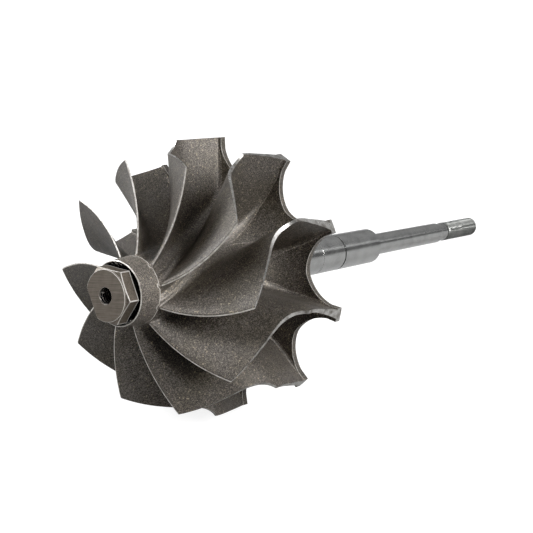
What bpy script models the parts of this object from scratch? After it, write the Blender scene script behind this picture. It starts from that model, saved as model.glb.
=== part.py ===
"""Turbine wheel of a turbocharger with its shaft, lying on a table on two blade tips and the shaft's end.

The wheel is drawn in its own frame first: s runs along the axis from the nose's front face towards the
shaft's end, r is the radius, and an angle is counted from straight down, clockwise seen from the nose.
An empty then tips the whole wheel into the way it lies and puts the floor at Z = 0.
"""

import math

import bmesh
import bpy
from mathutils import Euler, Vector

MM = 0.001
SEAM = 0.3 * MM  # gap kept between two pieces that are one casting in the real wheel
SEAT_LIFT = 1.3 * SEAM  # a blade's root and a lobe's inner edge clear the faceted hub by a little more
SHARP_ANGLE = math.radians(32.0)
AXIS_DISC_RADIUS = 1.0 * MM  # radius at which a turned profile ends and a flat disc closes it

# Wheel: radii and stations along the axis
BLADES = 10
PITCH = math.tau / BLADES
INDUCER_RADIUS = 34.0 * MM
EXDUCER_RADIUS = 30.3 * MM
EXDUCER_TIP_S = 15.3 * MM
INDUCER_FRONT_S = 30.8 * MM
RIM_FRONT_S = 42.9 * MM
DISC_BACK_S = 44.6 * MM
CORE_RADIUS = 24.75 * MM
CORE_FRONT_S = 42.5 * MM

# Nose
HEX_FLATS = 12.0 * MM
HEX_TURN = math.radians(24.0)
HEX_BACK_S = 3.6 * MM
NECK_RADIUS = 5.4 * MM
NECK_END_S = 4.6 * MM
FACE_RADIUS = 5.95 * MM
FACE_BACK_S = 0.45 * MM  # the round face stands this far in front of the hexagon
HEX_FRONT_ANGLE = math.radians(14.0)  # the hexagon's front slopes back towards its corners
BALANCE_CUT_TURN = math.radians(53.0)  # side of the nose where the wheel was ground to balance it
BALANCE_CUT_FRONT = 4.7 * MM  # distance of the ground flat from the axis at the face
BALANCE_CUT_END_S = 3.3 * MM  # station where it runs out on the hexagon
CENTRE_HOLE_RADIUS = 1.95 * MM
CENTRE_HOLE_DEPTH = 2.6 * MM
CENTRE_HOLE_POINT = 0.7 * MM
DRILL_POINT_RADIUS = 0.2 * MM
CUTTER_OVERRUN = 1.0 * MM
CUTTER_REACH = 3.0 * MM
NOSE_SIDES = 48
HOLE_SIDES = 24

# Hub
BOSS_FRONT_S = 3.6 * MM
BOSS_RADIUS = 7.57 * MM
BOSS_EDGE = 0.25 * MM
RECESS_RADIUS = 7.25 * MM
ROOT_START_S = 9.4 * MM
ROOT_START_RADIUS = 8.1 * MM
STUB_RADIUS = 9.2 * MM
STUB_END_S = 50.0 * MM
HUB_BACK = (  # distance behind the disc's back, radius
    (1.6 * MM, 12.5 * MM),
    (2.3 * MM, 10.0 * MM),
    (3.4 * MM, STUB_RADIUS),
)
HUB_STEPS = 14

# Blades
CAMBER = (  # station along the axis, angle ahead of the blade's tip on the disc in degrees
    (9.4, 46.2),
    (15.3, 26.65),
    (20.0, 12.3),
    (25.0, 0.3),
    (30.8, -4.5),
    (37.4, -3.0),
    (44.0, 0.0),
)
TRAILING_THICKNESS = 0.8 * MM
LEADING_THICKNESS = 1.2 * MM
ROOT_THICKNESS = 3.0 * MM
BAR_WIDTH = 3.4 * MM
ROOT_FLARE_POWER = 4.0  # how fast a blade thins above its root
HUB_SHARE = 0.72  # share of a blade's length whose root is on the hub, before it runs out along its lobe
SLOPE_STEP = 0.01
BLADE_STEPS = 15
SPAN_STEPS = 6

# Scallops of the back disc
SCALLOP_POWER = 1.7
SCALLOP_STEPS = 8
SCALLOP_STEP_POWER = 1.5
LOBE_ARC_STEPS = 5

# Shaft
COLLAR_END_S = 64.3 * MM
COLLAR_EDGE = 0.6 * MM
RING_GROOVE = (55.0 * MM, 56.8 * MM, 7.8 * MM)
JOURNAL_RADIUS = 5.08 * MM
JOURNAL_RELIEF = 0.05 * MM
FRONT_JOURNAL_S = 79.2 * MM
OIL_GROOVE_S = 90.1 * MM
OIL_GROOVE_WIDTH = 0.6 * MM
OIL_GROOVE_DEPTH = 0.45 * MM
JOURNAL_END_S = 108.8 * MM
SHOULDER_S = 110.4 * MM
SHOULDER_RADIUS = 3.7 * MM
STUB_SHAFT_RADIUS = 3.17 * MM
STUB_SHAFT_END_S = 151.3 * MM
RELIEF_RADIUS = 2.65 * MM
RELIEF_FRONT_RUN = 1.0 * MM
RELIEF_BACK_RUN = 0.4 * MM
THREAD_START_S = 155.4 * MM
THREAD_RADIUS = 3.0 * MM
SHAFT_END_S = 175.4 * MM
END_CHAMFER = 0.6 * MM

HUB_SIDES = 40
SHAFT_SIDES = 32

CAST = ((0.105, 0.095, 0.085), 0.55, 0.9)
GROUND = ((0.36, 0.36, 0.36), 0.25, 1.0)


def wheelPoint(s, r, angle):
    return Vector((-r * math.sin(angle), s, -r * math.cos(angle)))


def bezier(points, t):
    a, b, c, d = points
    k = 1.0 - t
    weights = (k**3, 3 * k * k * t, 3 * k * t * t, t**3)
    return tuple(sum(w * p[i] for w, p in zip(weights, (a, b, c, d))) for i in (0, 1))


def camberAngle(s):
    """Angle of the blade's middle surface at station s, by a smooth cubic through the named stations."""
    xs = [p[0] * MM for p in CAMBER]
    ys = [math.radians(p[1]) for p in CAMBER]
    last = len(xs) - 1
    slopes = []
    for i in range(last + 1):
        a, b = max(i - 1, 0), min(i + 1, last)
        slopes.append((ys[b] - ys[a]) / (xs[b] - xs[a]))
    i = min(max(sum(x <= s for x in xs) - 1, 0), last - 1)
    h = xs[i + 1] - xs[i]
    t = min(max((s - xs[i]) / h, 0.0), 1.0)
    return (
        (2 * t**3 - 3 * t**2 + 1) * ys[i]
        + (t**3 - 2 * t**2 + t) * h * slopes[i]
        + (3 * t**2 - 2 * t**3) * ys[i + 1]
        + (t**3 - t**2) * h * slopes[i + 1]
    )


HUB_CURVE = (
    (ROOT_START_S, ROOT_START_RADIUS),
    (30.0 * MM, 8.8 * MM),
    (41.0 * MM, 12.0 * MM),
    (CORE_FRONT_S, CORE_RADIUS),
)
SHROUD_CURVE = (
    (EXDUCER_TIP_S, EXDUCER_RADIUS),
    (22.0 * MM, EXDUCER_RADIUS),
    (28.5 * MM, 30.0 * MM),
    (INDUCER_FRONT_S, INDUCER_RADIUS),
)


def rootPoint(t):
    """Point of the hub's surface under the blade, from the trailing edge at 0 to the disc's rim at 1."""
    if t <= HUB_SHARE:
        return bezier(HUB_CURVE, t / HUB_SHARE)
    k = (t - HUB_SHARE) / (1.0 - HUB_SHARE)
    s = CORE_FRONT_S + k * (RIM_FRONT_S - CORE_FRONT_S)
    return s, CORE_RADIUS + k * (INDUCER_RADIUS - CORE_RADIUS)


def seatPoint(t):
    """The root point, lifted off the hub by the seam."""
    s0, r0 = rootPoint(max(t - SLOPE_STEP, 0.0))
    s1, r1 = rootPoint(min(t + SLOPE_STEP, 1.0))
    run = math.hypot(s1 - s0, r1 - r0)
    s, r = rootPoint(t)
    return s - SEAT_LIFT * (r1 - r0) / run, r + SEAT_LIFT * (s1 - s0) / run


def bladePoint(t, q):
    """Station and radius at t along the blade and q up its height."""
    s0, r0 = seatPoint(t)
    s1, r1 = bezier(SHROUD_CURVE, t)
    r = r0 + q * (r1 - r0)
    return s0 + q * (s1 - s0), min(r, INDUCER_RADIUS)


def halfThickness(t, q):
    edge = TRAILING_THICKNESS + t * (LEADING_THICKNESS - TRAILING_THICKNESS)
    root = ROOT_THICKNESS + t**4 * (BAR_WIDTH - ROOT_THICKNESS)
    return 0.5 * (edge + (root - edge) * (1.0 - q) ** ROOT_FLARE_POWER)


def scallopHalfAngle(r):
    """Half the angle that a lobe of the disc takes up at radius r."""
    mouth = PITCH / 2 - 0.5 * BAR_WIDTH / INDUCER_RADIUS
    wide = INDUCER_RADIUS * math.sin(mouth)
    top = INDUCER_RADIUS * math.cos(mouth)
    low, high = 0.0, mouth
    for _ in range(40):
        mid = 0.5 * (low + high)
        x, y = r * math.sin(mid), r * math.cos(mid)
        across = (x / wide) ** SCALLOP_POWER
        down = (max(top - y, 0.0) / (top - CORE_RADIUS)) ** SCALLOP_POWER
        if across + down < 1.0:
            low = mid
        else:
            high = mid
    return PITCH / 2 - low


def makeMaterial(name, look):
    colour, roughness, metallic = look
    material = bpy.data.materials.new(name + "_material")
    material.use_nodes = True
    shader = material.node_tree.nodes["Principled BSDF"]
    shader.inputs["Base Color"].default_value = (*colour, 1.0)
    shader.inputs["Roughness"].default_value = roughness
    shader.inputs["Metallic"].default_value = metallic
    return material


def makeObject(name, bm, look, parent):
    bmesh.ops.remove_doubles(bm, verts=bm.verts, dist=0.000001)
    bmesh.ops.recalc_face_normals(bm, faces=bm.faces)
    mesh = bpy.data.meshes.new(name)
    bm.to_mesh(mesh)
    bm.free()
    mesh.shade_smooth()
    mesh.set_sharp_from_angle(angle=SHARP_ANGLE)
    if look:
        mesh.materials.append(makeMaterial(name, look))
    piece = bpy.data.objects.new(name, mesh)
    bpy.context.scene.collection.objects.link(piece)
    piece.parent = parent
    return piece


def turned(profile, sides):
    """A solid turned round the axis from (s, r) points, with its two ends closed flat."""
    bm = bmesh.new()
    verts = [bm.verts.new(wheelPoint(s, r, 0.0)) for s, r in profile]
    edges = [bm.edges.new(pair) for pair in zip(verts, verts[1:])]
    bmesh.ops.spin(
        bm,
        geom=verts + edges,
        cent=(0.0, 0.0, 0.0),
        axis=(0.0, 1.0, 0.0),
        angle=math.tau,
        steps=sides,
        use_merge=True,
    )
    bmesh.ops.holes_fill(bm, edges=[e for e in bm.edges if e.is_boundary], sides=0)
    return bm


def cutBy(piece, cutter, operation):
    cutter.hide_render = True
    cutter.display_type = "WIRE"
    boolean = piece.modifiers.new(cutter.name, "BOOLEAN")
    boolean.operation = operation
    boolean.solver = "EXACT"
    boolean.object = cutter


def grindBalanceCut(bm):
    """Takes a sloping flat off one side of the hexagon, deepest at the face."""
    outward = wheelPoint(0.0, 1.0, BALANCE_CUT_TURN)
    slope = (HEX_FLATS / 2 - BALANCE_CUT_FRONT) / BALANCE_CUT_END_S
    bmesh.ops.bisect_plane(
        bm,
        geom=bm.verts[:] + bm.edges[:] + bm.faces[:],
        plane_co=outward * BALANCE_CUT_FRONT,
        plane_no=outward - Vector((0.0, slope, 0.0)),
        clear_outer=True,
    )
    bmesh.ops.holes_fill(bm, edges=[e for e in bm.edges if e.is_boundary], sides=0)


def makeHexNose(parent):
    """Hexagonal nose that a wrench holds, with its round face, centre hole, balance cut and round neck."""
    corner = HEX_FLATS / 2 / math.cos(math.pi / 6)
    bm = bmesh.new()
    ring = [bm.verts.new(wheelPoint(0.0, corner, HEX_TURN + i * math.pi / 3)) for i in range(6)]
    face = bm.faces.new(ring)
    grown = bmesh.ops.extrude_face_region(bm, geom=[face])["geom"]
    moved = [v for v in grown if isinstance(v, bmesh.types.BMVert)]
    bmesh.ops.translate(bm, verts=moved, vec=(0.0, NECK_END_S, 0.0))
    grindBalanceCut(bm)
    nose = makeObject("hex_nose", bm, CAST, parent)
    widest = FACE_RADIUS + CUTTER_REACH
    envelope = [
        (-CUTTER_OVERRUN, FACE_RADIUS),
        (FACE_BACK_S, FACE_RADIUS),
        (FACE_BACK_S + CUTTER_REACH * math.tan(HEX_FRONT_ANGLE), widest),
        (HEX_BACK_S, widest),
        (HEX_BACK_S, NECK_RADIUS),
        (NECK_END_S + CUTTER_OVERRUN, NECK_RADIUS),
    ]
    shape = makeObject("nose_envelope_guide", turned(envelope, NOSE_SIDES), None, parent)
    cutBy(nose, shape, "INTERSECT")
    drill = [
        (-CUTTER_OVERRUN, CENTRE_HOLE_RADIUS),
        (CENTRE_HOLE_DEPTH, CENTRE_HOLE_RADIUS),
        (CENTRE_HOLE_DEPTH + CENTRE_HOLE_POINT, DRILL_POINT_RADIUS),
    ]
    hole = makeObject("centre_drill_guide", turned(drill, HOLE_SIDES), None, parent)
    cutBy(nose, hole, "DIFFERENCE")


def makeHub(parent):
    """Cast hub: boss with the recess round the nose, flare, round core of the back disc and the stub."""
    floor = NECK_END_S + SEAM
    profile = [
        (floor, AXIS_DISC_RADIUS),
        (floor, RECESS_RADIUS),
        (BOSS_FRONT_S, RECESS_RADIUS),
        (BOSS_FRONT_S, BOSS_RADIUS - BOSS_EDGE),
        (BOSS_FRONT_S + BOSS_EDGE, BOSS_RADIUS),
    ]
    profile += [bezier(HUB_CURVE, i / HUB_STEPS) for i in range(HUB_STEPS + 1)]
    profile += [(DISC_BACK_S, CORE_RADIUS)]
    profile += [(DISC_BACK_S + behind, r) for behind, r in HUB_BACK]
    profile += [(STUB_END_S, STUB_RADIUS), (STUB_END_S, AXIS_DISC_RADIUS)]
    makeObject("hub", turned(profile, HUB_SIDES), CAST, parent)


def makeLobe(index, parent):
    """One lobe of the scalloped back disc, which carries one blade and ends in its T-shaped tip."""
    middle = PITCH / 2 + index * PITCH
    inner = CORE_RADIUS + SEAT_LIFT
    radii = []
    for i in range(SCALLOP_STEPS + 1):
        k = i / SCALLOP_STEPS
        radii.append(inner + (INDUCER_RADIUS - inner) * k**SCALLOP_STEP_POWER)
    side = [(r, scallopHalfAngle(r)) for r in radii]
    start = side[0][1]
    outline = [(inner, start * (1 - 2 * i / LOBE_ARC_STEPS)) for i in range(1, LOBE_ARC_STEPS)]
    outline += [(r, -half) for r, half in side]
    outline += [(INDUCER_RADIUS, 0.0)]
    outline += [(r, half) for r, half in reversed(side)]
    bm = bmesh.new()
    lean = (RIM_FRONT_S - CORE_FRONT_S) / (INDUCER_RADIUS - CORE_RADIUS)
    front = []
    for r, angle in outline:
        s = CORE_FRONT_S + lean * (r - CORE_RADIUS)
        front.append(bm.verts.new(wheelPoint(s, r, middle + angle)))
    face = bm.faces.new(front)
    grown = bmesh.ops.extrude_face_region(bm, geom=[face])["geom"]
    for v in grown:
        if isinstance(v, bmesh.types.BMVert):
            v.co.y = DISC_BACK_S
    bmesh.ops.triangulate(bm, faces=bm.faces)
    makeObject(f"disc_lobe_{index + 1:02d}", bm, CAST, parent)


def makeBlade(index, parent):
    """One twisted blade: a grid bent to the blade's middle surface and given its thickness."""
    middle = PITCH / 2 + index * PITCH
    bm = bmesh.new()
    bmesh.ops.create_grid(bm, x_segments=BLADE_STEPS, y_segments=SPAN_STEPS, size=0.5)
    near = {v: (v.co.x + 0.5, v.co.y + 0.5) for v in bm.verts}
    grown = bmesh.ops.extrude_face_region(bm, geom=bm.faces[:], use_keep_orig=True)["geom"]
    far = [v for v in grown if isinstance(v, bmesh.types.BMVert)]
    places = [(v, *near[v], -1.0) for v in near]
    places += [(v, v.co.x + 0.5, v.co.y + 0.5, 1.0) for v in far]
    for v, t, q, side in places:
        s, r = bladePoint(t, q)
        angle = middle + camberAngle(s) + side * halfThickness(t, q) / r
        v.co = wheelPoint(s, r, angle)
    bmesh.ops.triangulate(bm, faces=bm.faces)
    makeObject(f"blade_{index + 1:02d}", bm, CAST, parent)


def makeShaft(parent):
    """Steel shaft: seal collar with its ring groove, journals, shoulder, stub shaft and threaded end."""
    start = STUB_END_S + SEAM
    ringFront, ringBack, ringFloor = RING_GROOVE
    relieved = JOURNAL_RADIUS - JOURNAL_RELIEF
    slot = OIL_GROOVE_WIDTH / 2
    profile = [
        (start, AXIS_DISC_RADIUS),
        (start, STUB_RADIUS),
        (ringFront, STUB_RADIUS),
        (ringFront, ringFloor),
        (ringBack, ringFloor),
        (ringBack, STUB_RADIUS),
        (COLLAR_END_S - COLLAR_EDGE, STUB_RADIUS),
        (COLLAR_END_S, STUB_RADIUS - COLLAR_EDGE),
        (COLLAR_END_S, relieved + COLLAR_EDGE),
        (COLLAR_END_S + COLLAR_EDGE, relieved),
        (FRONT_JOURNAL_S, relieved),
        (FRONT_JOURNAL_S, JOURNAL_RADIUS),
        (OIL_GROOVE_S - slot, JOURNAL_RADIUS),
        (OIL_GROOVE_S - slot, JOURNAL_RADIUS - OIL_GROOVE_DEPTH),
        (OIL_GROOVE_S + slot, JOURNAL_RADIUS - OIL_GROOVE_DEPTH),
        (OIL_GROOVE_S + slot, JOURNAL_RADIUS),
        (JOURNAL_END_S, JOURNAL_RADIUS),
        (SHOULDER_S, SHOULDER_RADIUS),
        (SHOULDER_S, STUB_SHAFT_RADIUS),
        (STUB_SHAFT_END_S, STUB_SHAFT_RADIUS),
        (STUB_SHAFT_END_S + RELIEF_FRONT_RUN, RELIEF_RADIUS),
        (THREAD_START_S - RELIEF_BACK_RUN, RELIEF_RADIUS),
        (THREAD_START_S, THREAD_RADIUS),
        (SHAFT_END_S - END_CHAMFER, THREAD_RADIUS),
        (SHAFT_END_S, THREAD_RADIUS - END_CHAMFER),
        (SHAFT_END_S, AXIS_DISC_RADIUS),
    ]
    makeObject("shaft", turned(profile, SHAFT_SIDES), GROUND, parent)


def layDown(frame, pieces):
    """Tips the wheel onto two blade tips and the shaft's end, and centres it on the floor."""
    barHalf = 0.5 * BAR_WIDTH / INDUCER_RADIUS
    drop = INDUCER_RADIUS * math.cos(PITCH / 2 - barHalf) - THREAD_RADIUS
    tip = math.atan(drop / (SHAFT_END_S - END_CHAMFER - DISC_BACK_S))
    frame.rotation_euler = Euler((-tip, 0.0, 0.0))
    turn = frame.rotation_euler.to_matrix()
    corners = [turn @ v.co for piece in pieces for v in piece.data.vertices]
    low = Vector(min(c[i] for c in corners) for i in range(3))
    high = Vector(max(c[i] for c in corners) for i in range(3))
    middle = (low + high) / 2
    frame.location = (-middle.x, -middle.y, -low.z)


def main():
    for old in list(bpy.data.objects):
        bpy.data.objects.remove(old)
    frame = bpy.data.objects.new("wheel_frame", None)
    bpy.context.scene.collection.objects.link(frame)
    makeHexNose(frame)
    makeHub(frame)
    for index in range(BLADES):
        makeLobe(index, frame)
        makeBlade(index, frame)
    makeShaft(frame)
    pieces = [o for o in bpy.data.objects if o.type == "MESH" and not o.hide_render]
    layDown(frame, pieces)


main()
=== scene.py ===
import math

import bmesh
import bpy
from mathutils import Matrix, Vector


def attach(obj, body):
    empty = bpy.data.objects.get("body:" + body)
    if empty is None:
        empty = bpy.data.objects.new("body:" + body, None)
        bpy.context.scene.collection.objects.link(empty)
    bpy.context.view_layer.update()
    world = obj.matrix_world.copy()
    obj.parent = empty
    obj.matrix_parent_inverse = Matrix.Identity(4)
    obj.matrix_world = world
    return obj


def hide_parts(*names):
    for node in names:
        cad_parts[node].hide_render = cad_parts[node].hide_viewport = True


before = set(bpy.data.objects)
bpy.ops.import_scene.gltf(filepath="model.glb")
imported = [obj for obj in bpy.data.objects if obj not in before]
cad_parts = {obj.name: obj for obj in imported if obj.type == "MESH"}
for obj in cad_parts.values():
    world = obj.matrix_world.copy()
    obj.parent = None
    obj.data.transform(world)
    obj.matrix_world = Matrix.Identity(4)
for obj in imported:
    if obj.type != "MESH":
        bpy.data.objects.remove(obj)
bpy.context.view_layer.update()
millimetre = 0.001
mergeDistance = 0.0005  # in millimetres

# The wheel is drawn in its own frame, in millimetres: s runs along the axis from the nose's front face,
# r is the radius, and an angle is counted from straight down, clockwise seen from the nose.
wheel = {
    "blades": 10,
    "inducerRadius": 34.0,
    "exducerRadius": 30.3,
    "exducerTip": 15.3,
    "inducerFront": 30.8,
    "rimFront": 42.9,
    "discBack": 44.6,
    "coreRadius": 24.75,
    "coreFront": 42.5,
    "barWidth": 3.4,
    "bossFront": 3.6,
    "bossRadius": 7.57,
    "rootStart": 9.4,
    "rootRadius": 8.1,
    "stubRadius": 9.2,
    "stubEnd": 50.0,
    "shaftStart": 50.3,
    "shaftEnd": 175.4,
    "endChamfer": 0.6,
    "threadRadius": 3.0,
}
pitch = math.tau / wheel["blades"]


def wheelPoint(s, r, angle):
    return Vector((-r * math.sin(angle), s, -r * math.cos(angle)))


def wheelCoordinates(point):
    return point.y, math.hypot(point.x, point.z), math.atan2(-point.x, -point.z)


def lyingAngle():
    # The wheel lies on two neighbouring blade tips and on the edge of the shaft's end
    barHalf = 0.5 * wheel["barWidth"] / wheel["inducerRadius"]
    drop = wheel["inducerRadius"] * math.cos(pitch / 2 - barHalf) - wheel["threadRadius"]
    return math.atan(drop / (wheel["shaftEnd"] - wheel["endChamfer"] - wheel["discBack"]))


def wheelPlace():
    # Where the CAD shaft lies gives the place of the wheel's own frame
    turn = Matrix.Rotation(-lyingAngle(), 4, "X")
    back = turn.inverted()
    points = [back @ v.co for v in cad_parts["shaft"].data.vertices]
    x = (min(p.x for p in points) + max(p.x for p in points)) / 2
    y = min(p.y for p in points) - wheel["shaftStart"] * millimetre
    z = (min(p.z for p in points) + max(p.z for p in points)) / 2
    return turn @ Matrix.Translation((x, y, z))


place = wheelPlace()
wheelToRow = place @ Matrix.Diagonal((millimetre, millimetre, millimetre, 1.0))


def finishMesh(name, bm, materials, sharpAngle=38.0):
    # Takes a shape from the wheel's frame, in millimetres, to an object of the row's frame, in metres
    bmesh.ops.remove_doubles(bm, verts=bm.verts, dist=mergeDistance)
    bmesh.ops.recalc_face_normals(bm, faces=bm.faces)
    bmesh.ops.transform(bm, matrix=wheelToRow, verts=bm.verts)
    mesh = bpy.data.meshes.new(name)
    bm.to_mesh(mesh)
    bm.free()
    mesh.shade_smooth()
    mesh.set_sharp_from_angle(angle=math.radians(sharpAngle))
    for material in materials:
        mesh.materials.append(material)
    piece = bpy.data.objects.new(name, mesh)
    bpy.context.scene.collection.objects.link(piece)
    return piece


def softenEdges(piece, width, angle, slot=-1):
    # slot is the material of the rounded edges, -1 for that of the faces beside them
    bevel = piece.modifiers.new("softEdges", "BEVEL")
    bevel.width = width * millimetre
    bevel.segments = 2
    bevel.limit_method = "ANGLE"
    bevel.angle_limit = math.radians(angle)
    bevel.harden_normals = True
    bevel.use_clamp_overlap = True
    bevel.material = slot


def fillHoles(bm):
    bmesh.ops.holes_fill(bm, edges=[e for e in bm.edges if e.is_boundary], sides=0)


def turned(profile, sides):
    # Turns (s, r) points round the axis and closes the open ends with a flat disc
    bm = bmesh.new()
    verts = [bm.verts.new(wheelPoint(s, r, 0.0)) for s, r in profile]
    edges = [bm.edges.new(pair) for pair in zip(verts, verts[1:])]
    bmesh.ops.spin(
        bm, geom=verts + edges, cent=(0, 0, 0), axis=(0, 1, 0), angle=math.tau, steps=sides, use_merge=True
    )
    fillHoles(bm)
    return bm


# Materials

def nodeMaterial(name):
    material = bpy.data.materials.new(name)
    material.use_nodes = True
    tree = material.node_tree
    return material, tree, tree.nodes["Principled BSDF"]


def setInputs(tree, node, inputs):
    # An input that is given a socket is linked to it, any other is set to the value
    for key, value in inputs.items():
        if isinstance(value, bpy.types.NodeSocket):
            tree.links.new(value, node.inputs[key])
        else:
            node.inputs[key].default_value = value


def addNode(tree, kind, inputs=None, **settings):
    node = tree.nodes.new(kind)
    for key, value in settings.items():
        setattr(node, key, value)
    setInputs(tree, node, inputs or {})
    return node


def objectCoordinates(tree):
    return addNode(tree, "ShaderNodeTexCoord").outputs["Object"]


def scaled(tree, vector, scale):
    return addNode(tree, "ShaderNodeMapping", {"Vector": vector, "Scale": scale}).outputs["Vector"]


def wheelCoordinatesNode(tree):
    # Object coordinates turned into the wheel's own frame, in metres
    inputs = {
        "Vector": objectCoordinates(tree),
        "Location": place.to_translation(),
        "Rotation": place.to_euler(),
    }
    return addNode(tree, "ShaderNodeMapping", inputs, vector_type="TEXTURE").outputs["Vector"]


def noise(tree, vector, size, detail=3.0, roughness=0.55):
    # size is the noise's grain in millimetres
    scale = 1.0 / (size * millimetre)
    inputs = {"Vector": vector, "Scale": scale, "Detail": detail, "Roughness": roughness}
    return addNode(tree, "ShaderNodeTexNoise", inputs).outputs["Fac"]


def randomCells(tree, vector, size):
    # A random value for each small cell, size millimetres across
    cells = addNode(tree, "ShaderNodeTexVoronoi", {"Vector": vector, "Scale": 1.0 / (size * millimetre)})
    return addNode(tree, "ShaderNodeSeparateColor", {"Color": cells.outputs["Color"]}).outputs["Red"]


def remap(tree, value, low, high, outLow=0.0, outHigh=1.0):
    inputs = {"Value": value, "From Min": low, "From Max": high, "To Min": outLow, "To Max": outHigh}
    return addNode(tree, "ShaderNodeMapRange", inputs).outputs["Result"]


def mixColour(tree, factor, first, second):
    found = addNode(tree, "ShaderNodeMix", data_type="RGBA")
    for socket, value in zip(("Factor_Float", "A_Color", "B_Color"), (factor, first, second)):
        target = next(s for s in found.inputs if s.identifier == socket)
        if isinstance(value, bpy.types.NodeSocket):
            tree.links.new(value, target)
        else:
            target.default_value = (*value, 1.0)
    return next(s for s in found.outputs if s.identifier == "Result_Color")


def arithmetic(tree, operation, first, second):
    return addNode(tree, "ShaderNodeMath", {0: first, 1: second}, operation=operation).outputs["Value"]


def vectorLength(tree, vector):
    return addNode(tree, "ShaderNodeVectorMath", {0: vector}, operation="LENGTH").outputs["Value"]


def bumpNode(tree, height, distance, strength):
    # distance is the depth of the bumps in millimetres
    inputs = {"Height": height, "Distance": distance * millimetre, "Strength": strength}
    return addNode(tree, "ShaderNodeBump", inputs).outputs["Normal"]


wearRange = (0.3, 0.7)  # the part of a noise's values that the roughness is spread over
stationOnly = (0.0, 1.0, 0.0)  # a scale for wheel coordinates, which leaves lines that run round the axis


def dress(tree, shader, finish, colour, metallic, wear, height):
    # wear is the noise that moves the roughness over its range
    setInputs(tree, shader, {
        "Base Color": colour,
        "Metallic": metallic,
        "Roughness": remap(tree, wear, *wearRange, *finish["roughness"]),
        "Normal": bumpNode(tree, height, *finish["bump"]),
    })


# Sizes in the finishes are in millimetres; bump is the depth and the strength
castFinish = {
    "dark": (0.038, 0.0342, 0.0308),
    "light": (0.219, 0.196, 0.173),
    "olive": (0.201, 0.177, 0.142),
    "speck": (0.26, 0.223, 0.164),
    "bossLift": 1.22,  # the smooth boss is paler
    "bossFade": 2.5,  # and fades into the rest over this length
    "creaseHighlightLift": 1.9,  # the lines at the foot of the fillets are paler still: a painted highlight
    "grain": 0.13,
    "grainRange": (0.35, 0.65),
    "grainShade": (0.7, 1.0),
    "facet": 0.15,
    "facetPower": 2.2,
    "speckSize": 0.25,
    "speckRange": (0.965, 0.995),  # only the highest random values make a speck
    "patch": 9.0,
    "patchRange": (0.42, 0.62),
    "waveSize": 2.2,
    "waveHeight": 1.6,  # as a multiple of the grain's
    "roughness": (0.38, 0.52),
    "metallic": 0.4,
    "bump": (0.06, 0.6),
}


def castMaterial(name, gain=1.0):
    # Grit-blasted cast nickel alloy: dark brown-grey, finely pitted, with specks that sparkle.
    # The facets' random values are raised to a power, so that most are dark and a few are pale
    finish = castFinish
    material, tree, shader = nodeMaterial(name)
    where = objectCoordinates(tree)
    grain = noise(tree, where, finish["grain"], detail=4.0, roughness=0.7)
    patches = noise(tree, where, finish["patch"])
    facets = arithmetic(tree, "POWER", randomCells(tree, where, finish["facet"]), finish["facetPower"])
    shade = remap(tree, grain, *finish["grainRange"], *finish["grainShade"])
    light = mixColour(tree, remap(tree, patches, *finish["patchRange"]), finish["light"], finish["olive"])
    colour = mixColour(tree, arithmetic(tree, "MULTIPLY", facets, shade), finish["dark"], light)
    speck = remap(tree, randomCells(tree, where, finish["speckSize"]), *finish["speckRange"])
    colour = mixColour(tree, speck, colour, finish["speck"])
    station = addNode(tree, "ShaderNodeSeparateXYZ", {"Vector": wheelCoordinatesNode(tree)}).outputs["Y"]
    start = wheel["rootStart"] * millimetre
    end = start + finish["bossFade"] * millimetre
    # A gain above one gives a paler copy, used as the painted highlight along the fillets' foot
    lift = remap(tree, station, start, end, gain * finish["bossLift"], gain)
    lifted = addNode(tree, "ShaderNodeVectorMath", {0: colour, "Scale": lift}, operation="SCALE")
    waves = noise(tree, where, finish["waveSize"], detail=2.0)
    height = arithmetic(tree, "ADD", grain, arithmetic(tree, "MULTIPLY", waves, finish["waveHeight"]))
    dress(tree, shader, finish, lifted.outputs["Vector"], finish["metallic"], patches, height)
    return material


wornHighlightFinish = {
    "colour": (0.60, 0.58, 0.55),
    "stain": (0.30, 0.28, 0.255),
    "patch": 0.9,
    "stainRange": (0.35, 0.65),
    "pit": 0.2,
    "roughness": (0.26, 0.40),
    "metallic": 0.5,
    "bump": (0.01, 0.4),
}


def wornHighlightMaterial():
    # Edges and corners rubbed bright, and paler still as painted highlights along them
    finish = wornHighlightFinish
    material, tree, shader = nodeMaterial("wornEdgeHighlight")
    where = objectCoordinates(tree)
    rub = noise(tree, where, finish["patch"])
    colour = mixColour(tree, remap(tree, rub, *finish["stainRange"]), finish["colour"], finish["stain"])
    pits = noise(tree, where, finish["pit"], detail=2.0)
    dress(tree, shader, finish, colour, finish["metallic"], rub, pits)
    return material


holeFinish = {
    "colour": (0.003, 0.003, 0.0035),
    "shine": (0.42, 0.40, 0.37),
    "shinePatches": 0.6,
    "shineRange": (0.60, 0.65),
    "specular": 0.2,
    "roughness": (0.12, 0.26),
    "bump": (0.03, 0.5),
}


def holeMaterial():
    # Tapped hole and the recess round the nose, painted black as their shade, and shiny in a few places
    finish = holeFinish
    material, tree, shader = nodeMaterial("paintedShadeRecess")
    shinePatches = noise(tree, objectCoordinates(tree), finish["shinePatches"])
    bare = remap(tree, shinePatches, *finish["shineRange"])
    shader.inputs["Specular IOR Level"].default_value = finish["specular"]
    dress(tree, shader, finish, mixColour(tree, bare, finish["colour"], finish["shine"]), bare, shinePatches, shinePatches)
    return material


edgeFinish = {
    "colour": (0.50, 0.495, 0.48),
    "stain": (0.17, 0.155, 0.14),
    "patch": 1.5,
    "stainRange": (0.4, 0.7),
    "line": 0.12,
    "roughness": (0.24, 0.38),
    "metallic": 0.95,
    "bump": (0.01, 0.5),
}


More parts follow.
